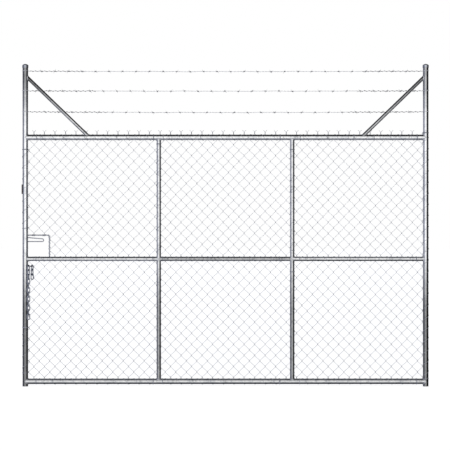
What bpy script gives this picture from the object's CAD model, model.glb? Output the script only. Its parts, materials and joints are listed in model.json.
import json
import math
import random

import bpy
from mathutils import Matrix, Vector


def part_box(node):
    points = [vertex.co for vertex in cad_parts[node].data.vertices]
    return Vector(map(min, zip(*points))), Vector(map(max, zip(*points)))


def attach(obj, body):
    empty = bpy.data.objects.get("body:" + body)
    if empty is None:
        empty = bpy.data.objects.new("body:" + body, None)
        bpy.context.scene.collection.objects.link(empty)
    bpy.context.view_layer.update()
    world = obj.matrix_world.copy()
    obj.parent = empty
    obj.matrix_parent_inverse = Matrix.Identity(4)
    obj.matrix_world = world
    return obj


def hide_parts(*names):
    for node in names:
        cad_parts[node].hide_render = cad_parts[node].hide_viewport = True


# Looks for a galvanised chain-link gate leaf: the fabric is woven, the lacing and the barbed wire
# are wound, the joints are welded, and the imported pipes, rods and chain links get their finish.
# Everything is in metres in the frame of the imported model.

MM = 0.001
RNG = random.Random(7)

# The camera's framing: the width that the view shows at the leaf, and where its middle lies
VIEW_WIDTH = 3.325
VIEW_MIDDLE = (-1.4825, 1.1911)
CAMERA_DISTANCE = 11.0
SENSOR = 36.0

# Studio lights: the axis a light lies on, where along it the light starts and is full, its colour
LIGHTS = (
    ("Y", -0.68, -0.98, (1.32, 1.31, 1.28)),
    ("Y", 0.10, -0.45, (0.27, 0.28, 0.30)),
    ("Y", 0.50, 0.98, (1.30, 1.30, 1.30)),
    ("X", 0.05, -0.95, (0.33, 0.35, 0.44)),
    ("Z", -0.10, -0.95, (0.17, 0.18, 0.22)),
)
DIM = (0.012, 0.012, 0.015)
FLOOR_GLOW = 0.83
FLOOR_SIZE = 60
FLOOR_GREY = (0.6, 0.6, 0.6, 1)

# Fabric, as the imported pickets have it
WIRE_R = 1.5 * MM
PICKET_W = 38.9 * MM
ROW_H = 41.05 * MM
KNOT_R = 1.65 * MM
KNOT_HALF_H = 2.7 * MM
TWIST_H = 13 * MM
TWIST_TURNS = 1
TIP_H = 12 * MM
TIP_W = 14 * MM
HOOK = 9 * MM
KNOT_TURNS = (-90, -45, 0, 45, 90)
KNOT_JITTER = 0.7 * MM
WIRE_SIDES = 8
TWIST_STEPS = 14

# How the fabric's cut ends are wound on the hand hole's upright rod
ROD_WIND_STEPS = 16
CUT_TURNS = 1.4
CUT_PITCH = 21 * MM
CUT_SLACK = 1.6 * MM

# Lacing
LACE_R = 1.25 * MM
LACE_STEPS = 20
LACE_CLOSE = 2.7 * MM

# Barbed wire, upper to lower strand
STRANDS = ("barbed_wire_upper", "barbed_wire_middle", "barbed_wire_lower")
SAGS = (3 * MM, 2 * MM, 5 * MM)
FIRST_BARBS = (117 * MM, 75 * MM, 142 * MM)
LATCH_TAILS = (440 * MM, 514 * MM, 602 * MM)
HINGE_TAILS = (462 * MM, 499 * MM, 573 * MM)
PLY_R = 1.15 * MM
PLY_TURN = 46 * MM
BARB_R = 0.95 * MM
BARB_PITCH = 100 * MM
BARB_L = 15 * MM
BARB_TURNS = 2.5
BARB_STEPS = 24
BARB_COIL = 5.5 * MM
BARB_SPREAD = 9 * MM
BARB_APART = 3 * MM
TAIL_R = 1.3 * MM
TAIL_TURN = 34 * MM

# Braces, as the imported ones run, and welds
BRACE_HIGH = 2275 * MM
BRACE_RUN = 451.8 * MM
BEAD_R = 3.0 * MM
BEAD_STEPS = 44

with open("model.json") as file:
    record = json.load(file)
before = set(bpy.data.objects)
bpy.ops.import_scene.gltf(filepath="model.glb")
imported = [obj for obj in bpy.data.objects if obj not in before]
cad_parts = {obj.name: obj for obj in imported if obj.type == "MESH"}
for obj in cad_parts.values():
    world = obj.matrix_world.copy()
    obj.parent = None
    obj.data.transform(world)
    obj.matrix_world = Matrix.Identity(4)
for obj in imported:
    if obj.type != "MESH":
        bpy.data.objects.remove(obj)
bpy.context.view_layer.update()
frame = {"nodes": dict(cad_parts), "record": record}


def lowest(node):
    return Vector(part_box(node)[0])


def highest(node):
    return Vector(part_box(node)[1])


def middle(node):
    return (lowest(node) + highest(node)) / 2


def radius(node):
    """The radius of a pipe that lies across Y."""
    return (highest(node).y - lowest(node).y) / 2


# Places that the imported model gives
latch = middle("latch_stile")
hinge = middle("hinge_stile")
stile_r = radius("latch_stile")
upright_r = radius("upright_latch")
upright_x = [middle("upright_latch").x, middle("upright_hinge").x]
brace_feet = [latch.x + BRACE_RUN, hinge.x - BRACE_RUN]
rails = {name: (middle(name).z, radius(name)) for name in ("top_rail", "mid_rail_centre", "bottom_rail")}
top_z, top_r = rails["top_rail"]
mid_z, mid_r = rails["mid_rail_centre"]
bottom_z, bottom_r = rails["bottom_rail"]

fabric_low = lowest("mesh_latch_bay")
fabric_high = highest("mesh_hinge_bay")
column_0 = latch.x + stile_r + 0.6 * MM
fabric_y = (fabric_low.y + fabric_high.y) / 2
fabric_top = fabric_high.z - TWIST_H - TIP_H
picket_count = round((hinge.x - latch.x - 2 * stile_r) / PICKET_W)
row_count = round((fabric_top - fabric_low.z) / ROW_H)

hole_corner = highest("hand_hole_frame")
hole_rod_r = radius("hand_hole_frame")
hole_rod_y = middle("hand_hole_frame").y
hole_rod_x = hole_corner.x - hole_rod_r
hole_rod_z = hole_corner.z - hole_rod_r


def row_z(row):
    return fabric_top - row * ROW_H


def column_x(column):
    return column_0 + column * PICKET_W


def nearest_column(x):
    return max(0, min(picket_count, round((x - column_0) / PICKET_W)))


# --- Camera, lights and floor ---------------------------------------------------------------


def add_node(tree, kind, **values):
    node = tree.nodes.new(kind)
    for key, value in values.items():
        if key in node.inputs:
            node.inputs[key].default_value = value
        else:
            setattr(node, key, value)
    return node


def carried(tree, value, low, high, to_low=0.0, to_high=1.0, soft=False):
    """A value carried from one range to another, and held inside it."""
    node = add_node(tree, "ShaderNodeMapRange")
    node.interpolation_type = "SMOOTHSTEP" if soft else "LINEAR"
    for name, number in (("From Min", low), ("From Max", high), ("To Min", to_low), ("To Max", to_high)):
        node.inputs[name].default_value = number
    tree.links.new(value, node.inputs["Value"])
    return node.outputs[0]


def make_camera():
    data = bpy.data.cameras.new("camera")
    data.sensor_width = SENSOR
    data.lens = SENSOR * CAMERA_DISTANCE / VIEW_WIDTH
    data.clip_end = 200
    camera = bpy.data.objects.new("camera", data)
    camera.location = (VIEW_MIDDLE[0], -CAMERA_DISTANCE, VIEW_MIDDLE[1])
    camera.rotation_euler = (math.radians(90), 0, 0)
    bpy.context.collection.objects.link(camera)
    bpy.context.scene.camera = camera


def make_world():
    """Soft lights that the metal shows, in a studio whose walls look plain white."""
    world = bpy.data.worlds.new("studio")
    bpy.context.scene.world = world
    world.use_nodes = True
    tree = world.node_tree
    tree.nodes.clear()
    link = tree.links.new
    where = add_node(tree, "ShaderNodeTexCoord")
    axes = add_node(tree, "ShaderNodeSeparateXYZ")
    link(where.outputs["Generated"], axes.inputs[0])
    total = add_node(tree, "ShaderNodeBackground", Color=(*DIM, 1)).outputs[0]
    for axis, start, full, colour in LIGHTS:
        light = add_node(tree, "ShaderNodeBackground", Color=(*colour, 1))
        link(carried(tree, axes.outputs[axis], start, full, soft=True), light.inputs["Strength"])
        both = add_node(tree, "ShaderNodeAddShader")
        link(total, both.inputs[0])
        link(light.outputs[0], both.inputs[1])
        total = both.outputs[0]
    white = add_node(tree, "ShaderNodeBackground", Color=(1, 1, 1, 1))
    path = add_node(tree, "ShaderNodeLightPath")
    pick = add_node(tree, "ShaderNodeMixShader")
    link(path.outputs["Is Camera Ray"], pick.inputs[0])
    link(total, pick.inputs[1])
    link(white.outputs[0], pick.inputs[2])
    out = add_node(tree, "ShaderNodeOutputWorld")
    link(pick.outputs[0], out.inputs["Surface"])


def make_floor():
    far = FLOOR_SIZE
    corners = [(-far, -far, 0), (far, -far, 0), (far, far, 0), (-far, far, 0)]
    mesh = bpy.data.meshes.new("floor")
    mesh.from_pydata(corners, [], [(0, 1, 2, 3)])
    floor = bpy.data.objects.new("floor", mesh)
    floor.location = (0, 0, -1 * MM)
    bpy.context.collection.objects.link(floor)
    material = bpy.data.materials.new("floor")
    material.use_nodes = True
    shader = material.node_tree.nodes["Principled BSDF"]
    shader.inputs["Base Color"].default_value = FLOOR_GREY
    shader.inputs["Roughness"].default_value = 1.0
    shader.inputs["Specular IOR Level"].default_value = 0.0
    shader.inputs["Emission Color"].default_value = (1, 1, 1, 1)
    shader.inputs["Emission Strength"].default_value = FLOOR_GLOW
    mesh.materials.append(material)
    floor.visible_glossy = False


# --- Materials ------------------------------------------------------------------------------


def metal(
    name, colour, dark, rough, grain, bump=0.08, metallic=1.0,
    soot=0.0, tarnish=0.0, specks=0.0, stain=0.0, side=(0, 0, 1),
):
    """Zinc coating: cloudy patches between colour and dark, crystal spangle, specks and fine grain.

    grain is the size of the patches in metres. soot darkens the leaf's lower part, tarnish its
    upper part, specks the spots and stain whatever faces side. A longer side widens the stain.
    """
    material = bpy.data.materials.new(name)
    material.use_nodes = True
    tree = material.node_tree
    link = tree.links.new
    shader = tree.nodes["Principled BSDF"]
    shader.inputs["Metallic"].default_value = metallic
    places = add_node(tree, "ShaderNodeTexCoord")
    where = places.outputs["Object"]

    clouds = add_node(tree, "ShaderNodeTexNoise", Scale=1 / grain, Detail=5, Roughness=0.62)
    spangle = add_node(tree, "ShaderNodeTexVoronoi", Scale=5 / grain)
    fine = add_node(tree, "ShaderNodeTexNoise", Scale=22 / grain, Detail=3)
    spots = add_node(tree, "ShaderNodeTexNoise", Scale=3.2 / grain, Detail=4, Roughness=0.7)
    for texture in (clouds, spangle, fine, spots):
        link(where, texture.inputs["Vector"])

    tone = add_node(tree, "ShaderNodeMix", data_type="RGBA")
    tone.inputs[6].default_value = (*dark, 1)
    tone.inputs[7].default_value = (*colour, 1)
    link(carried(tree, clouds.outputs["Fac"], 0.35, 0.62), tone.inputs[0])

    axes = add_node(tree, "ShaderNodeSeparateXYZ")
    link(where, axes.inputs[0])
    facing = add_node(tree, "ShaderNodeVectorMath", operation="DOT_PRODUCT")
    facing.inputs[1].default_value = side
    link(places.outputs["Normal"], facing.inputs[0])
    shades = (
        carried(tree, spangle.outputs["Color"], 0, 1, 0.86, 1.06),
        carried(tree, axes.outputs["Z"], 0.50, 1.10, 1 - soot, 1.0, soft=True),
        carried(tree, axes.outputs["Z"], 1.90, 2.30, 1.0, 1 - tarnish, soft=True),
        carried(tree, spots.outputs["Fac"], 0.36, 0.47, 1 - specks, 1.0),
        carried(tree, facing.outputs["Value"], 0.05, 0.65, 1.0, 1 - stain, soft=True),
    )
    shaded = tone.outputs[2]
    for shade in shades:
        scale = add_node(tree, "ShaderNodeVectorMath", operation="SCALE")
        link(shaded, scale.inputs[0])
        link(shade, scale.inputs["Scale"])
        shaded = scale.outputs[0]
    link(shaded, shader.inputs["Base Color"])
    gloss = carried(tree, clouds.outputs["Fac"], 0.3, 0.7, rough - 0.04, rough + 0.08)
    link(gloss, shader.inputs["Roughness"])

    relief = add_node(tree, "ShaderNodeBump", Strength=bump, Distance=0.4 * MM)
    link(fine.outputs["Fac"], relief.inputs["Height"])
    link(relief.outputs[0], shader.inputs["Normal"])
    return material


# How each pipe has weathered: brightness, soot, tarnish, specks, stain and the side it is on
WEATHER = {
    "latch_stile": (1.00, 0.76, 0.68, 0.25, 0.36, (-1, 0, 0)),
    "hinge_stile": (0.92, 0.72, 0.50, 0.25, 0.84, (1.4, 0, 0)),
    "top_rail": (0.88, 0.00, 0.00, 0.50, 0.84, (0, 0, 1)),
    "bottom_rail": (0.80, 0.15, 0.00, 0.40, 0.70, (0, 0, -1)),
    "mid_rail_latch": (0.80, 0.00, 0.00, 0.35, 0.60, (0, 0, 1)),
    "mid_rail_centre": (0.50, 0.00, 0.00, 0.65, 0.20, (0, 0, 1)),
    "mid_rail_hinge": (0.80, 0.00, 0.00, 0.50, 0.70, (0, 0, -1)),
    "upright_latch": (0.85, 0.55, 0.00, 0.45, 0.50, (1, 0, 0)),
    "upright_hinge": (0.82, 0.55, 0.00, 0.45, 0.75, (1, 0, 0)),
    "brace_latch": (0.60, 0.00, 0.75, 0.50, 0.84, (0, 0, 1.4)),
    "brace_hinge": (0.50, 0.00, 0.60, 0.40, 0.84, (0, 0, 1.4)),
}


def weathered_pipe(node, brightness, *weather):
    colour = [brightness * c for c in (0.82, 0.82, 0.82)]
    dark = [brightness * c for c in (0.60, 0.61, 0.63)]
    return metal(node, colour, dark, 0.20, 0.045, 0.08, 1.0, *weather)


pipe_zinc = {node: weathered_pipe(node, *weather) for node, weather in WEATHER.items()}
cap_zinc = metal("cap_zinc", (0.42, 0.43, 0.46), (0.22, 0.23, 0.26), 0.20, 0.03)
fabric_zinc = metal("fabric_zinc", (0.88, 0.89, 0.92), (0.66, 0.67, 0.71), 0.36, 0.03, metallic=0.9, soot=0.3)
knot_zinc = metal("knot_zinc", (0.62, 0.63, 0.67), (0.42, 0.43, 0.47), 0.38, 0.03)
lacing_zinc = metal("lacing_zinc", (0.58, 0.59, 0.62), (0.38, 0.39, 0.42), 0.40, 0.02)
strand_zinc = metal("strand_zinc", (0.82, 0.82, 0.85), (0.58, 0.58, 0.61), 0.40, 0.02, metallic=0.8)
tail_zinc = metal("tail_zinc", (0.13, 0.13, 0.15), (0.06, 0.06, 0.07), 0.50, 0.02)
barb_zinc = metal("barb_zinc", (0.42, 0.42, 0.45), (0.26, 0.26, 0.29), 0.45, 0.02)
rod_zinc = metal("rod_zinc", (0.44, 0.45, 0.50), (0.28, 0.29, 0.33), 0.34, 0.02)
chain_zinc = metal("chain_zinc", (0.40, 0.42, 0.48), (0.17, 0.18, 0.22), 0.34, 0.012, bump=0.2)
weld_zinc = metal("weld_zinc", (0.92, 0.92, 0.92), (0.60, 0.60, 0.62), 0.40, 0.008, bump=0.5)
bare_brown = metal("bare_brown", (0.075, 0.045, 0.035), (0.022, 0.016, 0.015), 0.62, 0.012, 0.7, 0.35)


# --- Wires ----------------------------------------------------------------------------------


class Wires:
    """Round wires that together make one mesh. Each is a tube along a list of points."""

    def __init__(self, sides=WIRE_SIDES):
        self.sides = sides
        self.points = []
        self.faces = []
        self.shades = []

    def add(self, path, radius, closed=False, taper=1.0, shade=0, dark_at=()):
        """Add one wire.

        taper is the radius at both ends as a part of the radius between them. shade is the index
        of the wire's material among the piece's, and stretches that start at a point in dark_at
        get the one after it.
        """
        path = [Vector(p) for p in path]
        count = len(path)
        before = len(self.points)
        normal = None
        for i, point in enumerate(path):
            ahead = path[(i + 1) % count] if closed or i + 1 < count else point
            behind = path[i - 1] if closed or i else point
            run = (ahead - behind).normalized()
            if normal is None:
                other = Vector((0, 0, 1)) if abs(run.z) < 0.9 else Vector((1, 0, 0))
                normal = run.cross(other)
            normal = (normal - run * normal.dot(run)).normalized()
            across = run.cross(normal)
            r = radius * (taper if not closed and i in (0, count - 1) else 1.0)
            for k in range(self.sides):
                turn = math.tau * k / self.sides
                self.points.append(point + normal * (r * math.cos(turn)) + across * (r * math.sin(turn)))
        for i in range(count if closed else count - 1):
            low = before + i * self.sides
            high = before + (i + 1) % count * self.sides
            for k in range(self.sides):
                n = (k + 1) % self.sides
                self.faces.append((low + k, low + n, high + n, high + k))
                self.shades.append(shade + (1 if i in dark_at else 0))
        if not closed:
            end = before + (count - 1) * self.sides
            self.faces.append(tuple(before + k for k in reversed(range(self.sides))))
            self.faces.append(tuple(end + k for k in range(self.sides)))
            self.shades += [shade, shade]

    def piece(self, name, materials, replaced=()):
        mesh = bpy.data.meshes.new(name)
        mesh.from_pydata(self.points, [], self.faces)
        for material in materials:
            mesh.materials.append(material)
        mesh.polygons.foreach_set("use_smooth", [len(f) == 4 for f in self.faces])
        mesh.polygons.foreach_set("material_index", self.shades)
        mesh.update()
        made = bpy.data.objects.new(name, mesh)
        bpy.context.collection.objects.link(made)
        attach(made, "leaf")
        if replaced:
            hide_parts(*replaced)


# --- Chain-link fabric ----------------------------------------------------------------------


knot_shift = {}


def knot(column, row):
    """The middle of a knot, a little out of its even place as in real fabric."""
    if (column, row) not in knot_shift:
        sway = [RNG.uniform(-KNOT_JITTER, KNOT_JITTER) for _ in range(2)]
        if column in (0, picket_count):
            sway[0] = 0
        knot_shift[column, row] = sway
    sway = knot_shift[column, row]
    return Vector((column_x(column) + sway[0], fabric_y, row_z(row) + sway[1]))


def column_of(picket, row):
    return picket + (1 if (picket + row) % 2 == 0 else 0)


def hooked(picket, row, turns=KNOT_TURNS):
    """The half turn that a picket makes round its neighbour: front to back on its right side."""
    column = column_of(picket, row)
    centre = knot(column, row)
    hand = 1 if column > picket else -1
    bend = []
    for turn in turns:
        a = math.radians(turn)
        sideways = hand * KNOT_R * math.cos(a)
        inward = hand * KNOT_R * math.sin(a)
        bend.append(centre + Vector((sideways, inward, -KNOT_HALF_H * turn / 90)))
    return bend


def twisted_top(picket):
    """From the splayed, cut tip down the twist to the first knot."""
    column = column_of(picket, 0)
    centre = knot(column, 0)
    hand = 1 if column > picket else -1
    reach = TIP_W * RNG.uniform(0.85, 1.05)
    path = [centre + Vector((hand * reach, RNG.uniform(-1, 1) * MM, TWIST_H + TIP_H * RNG.uniform(0.8, 1)))]
    path.append(centre + Vector((hand * reach * 0.35, 0, TWIST_H + TIP_H * 0.3)))
    for i in range(TWIST_STEPS, 0, -1):
        part = i / TWIST_STEPS
        a = math.tau * TWIST_TURNS * part
        turned = Vector((hand * math.cos(a), -hand * math.sin(a), 0))
        path.append(centre + turned * KNOT_R + Vector((0, 0, TWIST_H * part)))
    return path


def knuckled_foot(picket, row):
    """The last knot, with the wire's end folded up beside it."""
    path = hooked(picket, row)
    side = 1 if column_of(picket, row) > picket else -1
    end = path[-1]
    path.append(end + Vector((-side * 3 * MM, side * 0.6 * MM, 0.8 * MM)))
    path.append(end + Vector((-side * 4 * MM, side * 0.6 * MM, HOOK)))
    return path


def cut_top(picket, first_row, z):
    """A cut end that starts at height z, on the way down to its first whole knot."""
    low = hooked(picket, first_row)[0]
    above = hooked(picket, first_row - 1)[-1]
    part = (z - low.z) / (above.z - low.z)
    return [low + (above - low) * part]


def wound_on_rod(start, centre, along, turns, pitch, slack=0.0):
    """Points that wind a wire round the hand hole's rod, which passes through centre.

    The wire begins on the side where start lies. along is the rod's direction. slack is how far
    the turns stand off the rod.
    """
    reach = hole_rod_r + WIRE_R + slack
    along = Vector(along)
    out = Vector(start) - centre
    out = (out - along * out.dot(along)).normalized()
    across = along.cross(out)
    steps = round(turns * ROD_WIND_STEPS)
    path = []
    for i in range(steps + 1):
        gone = turns * i / steps
        a = math.tau * gone
        path.append(centre + (out * math.cos(a) + across * math.sin(a)) * reach + along * (pitch * gone))
    return path


first_hole_row = next(r for r in range(row_count) if row_z(r) < hole_rod_z)
last_hole_row = next(r for r in range(row_count) if row_z(r) < mid_z)
hole_column = nearest_column(hole_rod_x)


def fabric_paths(picket):
    """The lengths of wire that one picket consists of: two where the hand hole cuts it."""
    path = twisted_top(picket)
    path += hooked(picket, 0, KNOT_TURNS[3:])
    lengths = []
    for row in range(1, row_count):
        if picket < hole_column and first_hole_row <= row < last_hole_row:
            if row == first_hole_row:
                side = 1 if column_of(picket, row - 1) > picket else -1
                centre = Vector((path[-1].x, hole_rod_y, hole_rod_z))
                start = centre + Vector((0, 1, 0.2))
                turns = 2.4 if centre.x < hole_rod_x - 30 * MM else 1.3
                path += wound_on_rod(start, centre, (-side, 0, 0), turns, 5 * MM)
                lengths.append(path)
            continue
        if picket < hole_column and row == last_hole_row:
            path = cut_top(picket, row, mid_z + mid_r)
        path += hooked(picket, row)
    path += knuckled_foot(picket, row_count)
    lengths.append(path)
    return lengths


def knot_stretches(path):
    """Which stretches of a wire are short, and so lie inside a knot or a twist."""
    return {i for i in range(len(path) - 1) if (path[i + 1] - path[i]).length < 4 * MM}


def add_cut_ends(wires):
    """Cut wires that hold the fabric's edge to the hand hole's upright rod."""
    for row in range(first_hole_row, last_hole_row):
        if (hole_column + row) % 2 == 0:
            continue
        centre = knot(hole_column, row)
        for side in (1, -1):
            rod = Vector((hole_rod_x, hole_rod_y, centre.z + side * 5 * MM))
            start = centre + Vector((KNOT_R, 0, 0))
            bend = centre + Vector((KNOT_R * 0.2, -side * KNOT_R, side * KNOT_HALF_H))
            behind = rod + Vector((-0.4, 1, 0))
            turns = wound_on_rod(behind, rod, (0, 0, side), CUT_TURNS, CUT_PITCH, CUT_SLACK)
            wires.add([start, bend, *turns], WIRE_R)


def make_fabric():
    first, second = [nearest_column(x) for x in upright_x]
    bays = {
        "mesh_latch_bay": range(0, first),
        "mesh_centre_bay": range(first, second),
        "mesh_hinge_bay": range(second, picket_count),
    }
    for name, pickets in bays.items():
        wires = Wires()
        for picket in pickets:
            for path in fabric_paths(picket):
                wires.add(path, WIRE_R, dark_at=knot_stretches(path))
        if 0 in pickets:
            add_cut_ends(wires)
        looks = [fabric_zinc, knot_zinc]
        wires.piece("fabric_" + name.removeprefix("mesh_"), looks, [name])


# --- Lacing ---------------------------------------------------------------------------------


def loop_point(turn, pipe_r, grip, grip_r):
    """A point of a tight loop round a pipe and the fabric at grip, turn degrees from grip's side."""
    a = math.radians(turn)
    near = pipe_r + LACE_R
    far = grip.length + grip_r + LACE_R
    back = max(0.0, math.cos(a)) ** 1.6
    reach = near + (far - near) * back
    out = grip.normalized()
    across = Vector((-out.y, out.x))
    return out * (reach * math.cos(a)) + across * (near * math.sin(a))


def lacing_path(marks, pipe_r, grip, end_turns=2.2):
    """A wire that passes behind the fabric at each mark and goes round the pipe between two marks.

    Each point is (place along the pipe, across, across). The ends are wound tightly.
    """
    grip = Vector(grip)
    grip_r = KNOT_R + WIRE_R
    small = grip.normalized() * pipe_r
    path = []

    def wind(start, turns, pitch, grip_at, grip_reach):
        for i in range(round(turns * LACE_STEPS)):
            part = i / LACE_STEPS
            p = loop_point(360 * part, pipe_r, grip_at, grip_reach)
            path.append((start + pitch * part, p.x, p.y))

    wind(marks[0] - LACE_CLOSE * end_turns, end_turns, LACE_CLOSE, small, 0)
    for a, b in zip(marks, marks[1:]):
        wind(a, 1, b - a, grip, grip_r)
    wind(marks[-1], 1, LACE_CLOSE, grip, grip_r)
    wind(marks[-1] + LACE_CLOSE, end_turns, LACE_CLOSE, small, 0)
    return path


def runs(marks, gap, walls=()):
    """Groups of marks that are less than gap apart, with no wall between them."""
    groups = [[marks[0]]]
    for m in marks[1:]:
        last = groups[-1][-1]
        if m - last > gap or any(last < wall < m for wall in walls):
            groups.append([])
        groups[-1].append(m)
    return groups


def make_rail_lacing(name, rail):
    z, rail_r = rails[rail]
    row = max(r for r in range(0, row_count, 2) if row_z(r) > z)
    step = (row_z(row) - z) / ROW_H * PICKET_W
    marks = [column_x(c) + step for c in range(1, picket_count, 2)]
    walls = upright_x + (brace_feet if rail == "top_rail" else [])
    marks = [x for x in marks if min(abs(x - wall) for wall in walls) > upright_r + 4 * LACE_R]
    wires = Wires()
    for group in runs(marks, 3 * PICKET_W, upright_x):
        path = lacing_path(group, rail_r, (fabric_y, 0))
        wires.add([(x, y, z + up) for x, y, up in path], LACE_R)
    wires.piece("laced_" + name.removeprefix("lacing_"), [lacing_zinc], [name])


def make_upright_lacing(name, x, pipe_r, top, skip=(0, 0)):
    column = nearest_column(x)
    marks = [row_z(r) for r in range(row_count, -1, -1) if (column + r) % 2 == 1]
    clear = [z for z in marks if all(abs(z - h) > r + 2 * LACE_R for h, r in rails.values())]
    marks = [z for z in clear if z < top and not skip[0] <= z <= skip[1]]
    grip = (column_x(column) - x, fabric_y)
    wires = Wires()
    for group in runs(marks, 3 * ROW_H):
        path = lacing_path(group, pipe_r, grip)
        wires.add([(x + right, back, z) for z, right, back in path], LACE_R)
    wires.piece("laced_" + name.removeprefix("lacing_"), [lacing_zinc], [name])


def make_lacing():
    make_rail_lacing("lacing_top_rail", "top_rail")
    make_rail_lacing("lacing_mid_rail", "mid_rail_centre")
    make_rail_lacing("lacing_bottom_rail", "bottom_rail")
    chain_foot = lowest("long_link_12").z
    stile_top = highest("latch_stile").z
    make_upright_lacing("lacing_latch_stile", latch.x, stile_r, stile_top, (chain_foot, hole_corner.z))
    make_upright_lacing("lacing_hinge_stile", hinge.x, stile_r, stile_top)
    make_upright_lacing("lacing_upright_latch", upright_x[0], upright_r, top_z)
    make_upright_lacing("lacing_upright_hinge", upright_x[1], upright_r, top_z)


# --- Barbed wire ----------------------------------------------------------------------------


def strand_line(y, z, sag):
    """The strand's middle line from one stile's inner side round both stiles."""
    line = []
    step = 15
    for turn in range(-260, 0, step):
        a = math.radians(turn + 90)
        line.append(Vector((latch.x + y * math.cos(a), y * math.sin(a), z)))
    span = hinge.x - latch.x
    count = round(span / (PLY_TURN / 8))
    phases = [RNG.uniform(0, math.tau) for _ in range(3)]
    for i in range(count + 1):
        part = i / count
        held = math.sin(math.pi * part)
        sway = sum(math.sin(math.tau * part * n + phase) for n, phase in zip((5, 9, 17), phases))
        line.append(Vector((latch.x + span * part, y, z + held * (sway * 0.6 * MM - sag))))
    for turn in range(step, 261, step):
        a = math.radians(90 - turn)
        line.append(Vector((hinge.x + y * math.cos(a), y * math.sin(a), z)))
    return line


def wound_along(line, reach, turn_length, phase):
    """A wire wound round a line."""
    path = []
    gone = 0.0
    up = Vector((0, 0, 1))
    for i, point in enumerate(line):
        ahead = line[min(i + 1, len(line) - 1)]
        behind = line[max(i - 1, 0)]
        across = (ahead - behind).cross(up).normalized()
        if i:
            gone += (point - line[i - 1]).length
        a = phase + math.tau * gone / turn_length
        path.append(point + up * (reach * math.cos(a)) + across * (reach * math.sin(a)))
    return path


def between(line, from_x, to_x, step):
    """Points of a line along X at an even step."""
    made = []
    count = max(2, round(abs(to_x - from_x) / step))
    for i in range(count + 1):
        x = from_x + (to_x - from_x) * i / count
        k = max(1, next((j for j, p in enumerate(line) if p.x > x), len(line) - 1))
        a, b = line[k - 1], line[k]
        made.append(a + (b - a) * ((x - a.x) / (b.x - a.x)))
    return made


def barb_wire(centre, shift, phase):
    """One of a barb's two wires: two turns and a half round the strand, with both ends out."""
    reach = 2 * PLY_R + BARB_R

    def around(a, x, out):
        return centre + Vector((x, out * math.sin(a), out * math.cos(a)))

    path = [around(phase, shift - BARB_SPREAD, BARB_L)]
    for i in range(BARB_STEPS + 1):
        part = i / BARB_STEPS
        path.append(around(phase + math.tau * BARB_TURNS * part, shift + (part - 0.5) * BARB_COIL, reach))
    path.append(around(phase + math.tau * BARB_TURNS, shift + BARB_SPREAD, BARB_L))
    return path


def make_barbed_wire(name, sag, first_barb, latch_tail, hinge_tail):
    z = middle(name).z
    y = stile_r + 2.4 * MM
    line = strand_line(y, z, sag)
    straight = [p for p in line if abs(p.y - y) < 1e-6]
    wires = Wires()
    for phase in (0, math.pi):
        wires.add(wound_along(line, PLY_R, PLY_TURN, phase), PLY_R)
    for stile_x, away, length in ((latch.x, 1, latch_tail), (hinge.x, -1, hinge_tail)):
        start = stile_x + away * (stile_r + 10 * MM)
        path = between(straight, start, stile_x + away * length, TAIL_TURN / 10)
        wound = wound_along(path, 2 * PLY_R + TAIL_R, TAIL_TURN, RNG.uniform(0, math.tau))
        wound.append(wound[-1] + Vector((away * 4 * MM, 3 * MM, RNG.uniform(-5, 5) * MM)))
        wires.add(wound, TAIL_R, shade=1)
    x = latch.x + first_barb
    while x < hinge.x - stile_r - 30 * MM:
        centre = between(straight, x, x + 1 * MM, 1)[0]
        phase = RNG.uniform(0, math.tau)
        wires.add(barb_wire(centre, -BARB_APART, phase), BARB_R, taper=0.35, shade=2)
        wires.add(barb_wire(centre, BARB_APART, phase + math.pi / 2), BARB_R, taper=0.35, shade=2)
        x += BARB_PITCH
    wires.piece("twisted_" + name, [strand_zinc, tail_zinc, barb_zinc], [name])


# --- Welds ----------------------------------------------------------------------------------


def saddle(place, run, run_r, host, host_r):
    """Where a pipe that leaves place along run meets the host pipe that passes through place."""
    place, run, host = Vector(place), Vector(run), Vector(host)
    side = run.cross(host)
    curve = []
    for i in range(BEAD_STEPS):
        a = math.tau * i / BEAD_STEPS
        off = run_r * math.sin(a)
        depth = math.sqrt(max(0, host_r**2 - off**2))
        curve.append(place + host * (run_r * math.cos(a)) + side * off + run * depth)
    return curve


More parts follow.
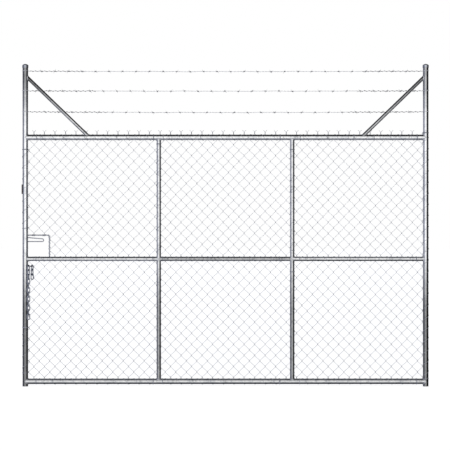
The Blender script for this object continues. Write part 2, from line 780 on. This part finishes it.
def brace_saddles(name, stile_x, away):
    """Where a brace meets its stile and the top rail, found by sliding along the brace's lines."""
    brace_r = radius(name)
    high = Vector((stile_x + away * stile_r, 0, BRACE_HIGH))
    low = Vector((stile_x + away * BRACE_RUN, 0, top_z + top_r))
    run = (low - high).normalized()
    side = Vector((0, 1, 0))
    face = run.cross(side)
    on_stile, on_rail = [], []
    for i in range(BEAD_STEPS):
        a = math.tau * i / BEAD_STEPS
        start = high + side * (brace_r * math.cos(a)) + face * (brace_r * math.sin(a))
        to_stile = stile_x + away * math.sqrt(stile_r**2 - start.y**2) - start.x
        to_rail = top_z + math.sqrt(top_r**2 - start.y**2) - start.z
        on_stile.append(start + run * (to_stile / run.x))
        on_rail.append(start + run * (to_rail / run.z))
    return [on_stile, on_rail]


def make_welds():
    right, up = Vector((1, 0, 0)), Vector((0, 0, 1))
    curves = []
    for z, rail_r in rails.values():
        curves.append(saddle((latch.x, 0, z), right, rail_r, up, stile_r))
        curves.append(saddle((hinge.x, 0, z), -right, rail_r, up, stile_r))
    for x in upright_x:
        curves.append(saddle((x, 0, top_z), -up, upright_r, right, top_r))
        curves.append(saddle((x, 0, bottom_z), up, upright_r, right, bottom_r))
        for away in (right, -right):
            curves.append(saddle((x, 0, mid_z), away, mid_r, up, upright_r))
    curves += brace_saddles("brace_latch", latch.x, 1)
    curves += brace_saddles("brace_hinge", hinge.x, -1)
    beads = Wires()
    ripple = 0.35 * MM
    for curve in curves:
        path = [point + Vector([RNG.uniform(-ripple, ripple) for _ in range(3)]) for point in curve]
        beads.add(path, BEAD_R * RNG.uniform(0.9, 1.1), closed=True)
    beads.piece("weld_beads", [weld_zinc])


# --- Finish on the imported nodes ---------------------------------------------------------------


def finish_nodes():
    looks = {
        "cap_steel": cap_zinc,
        "galvanised_rod": rod_zinc,
        "chain_steel": chain_zinc,
        "bare_steel": bare_brown,
    }
    for entry in frame["record"]["subparts"]:
        look = pipe_zinc.get(entry["node"], looks.get(entry["material_slot"]))
        if look is None:
            continue
        node = frame["nodes"][entry["node"]]
        if not node.material_slots:
            node.data.materials.append(look)
        for place in node.material_slots:
            place.material = look


make_camera()
make_world()
make_floor()
make_fabric()
make_lacing()
for strand in zip(STRANDS, SAGS, FIRST_BARBS, LATCH_TAILS, HINGE_TAILS):
    make_barbed_wire(*strand)
make_welds()
finish_nodes()
bpy.context.scene.view_settings.view_transform = "Standard"
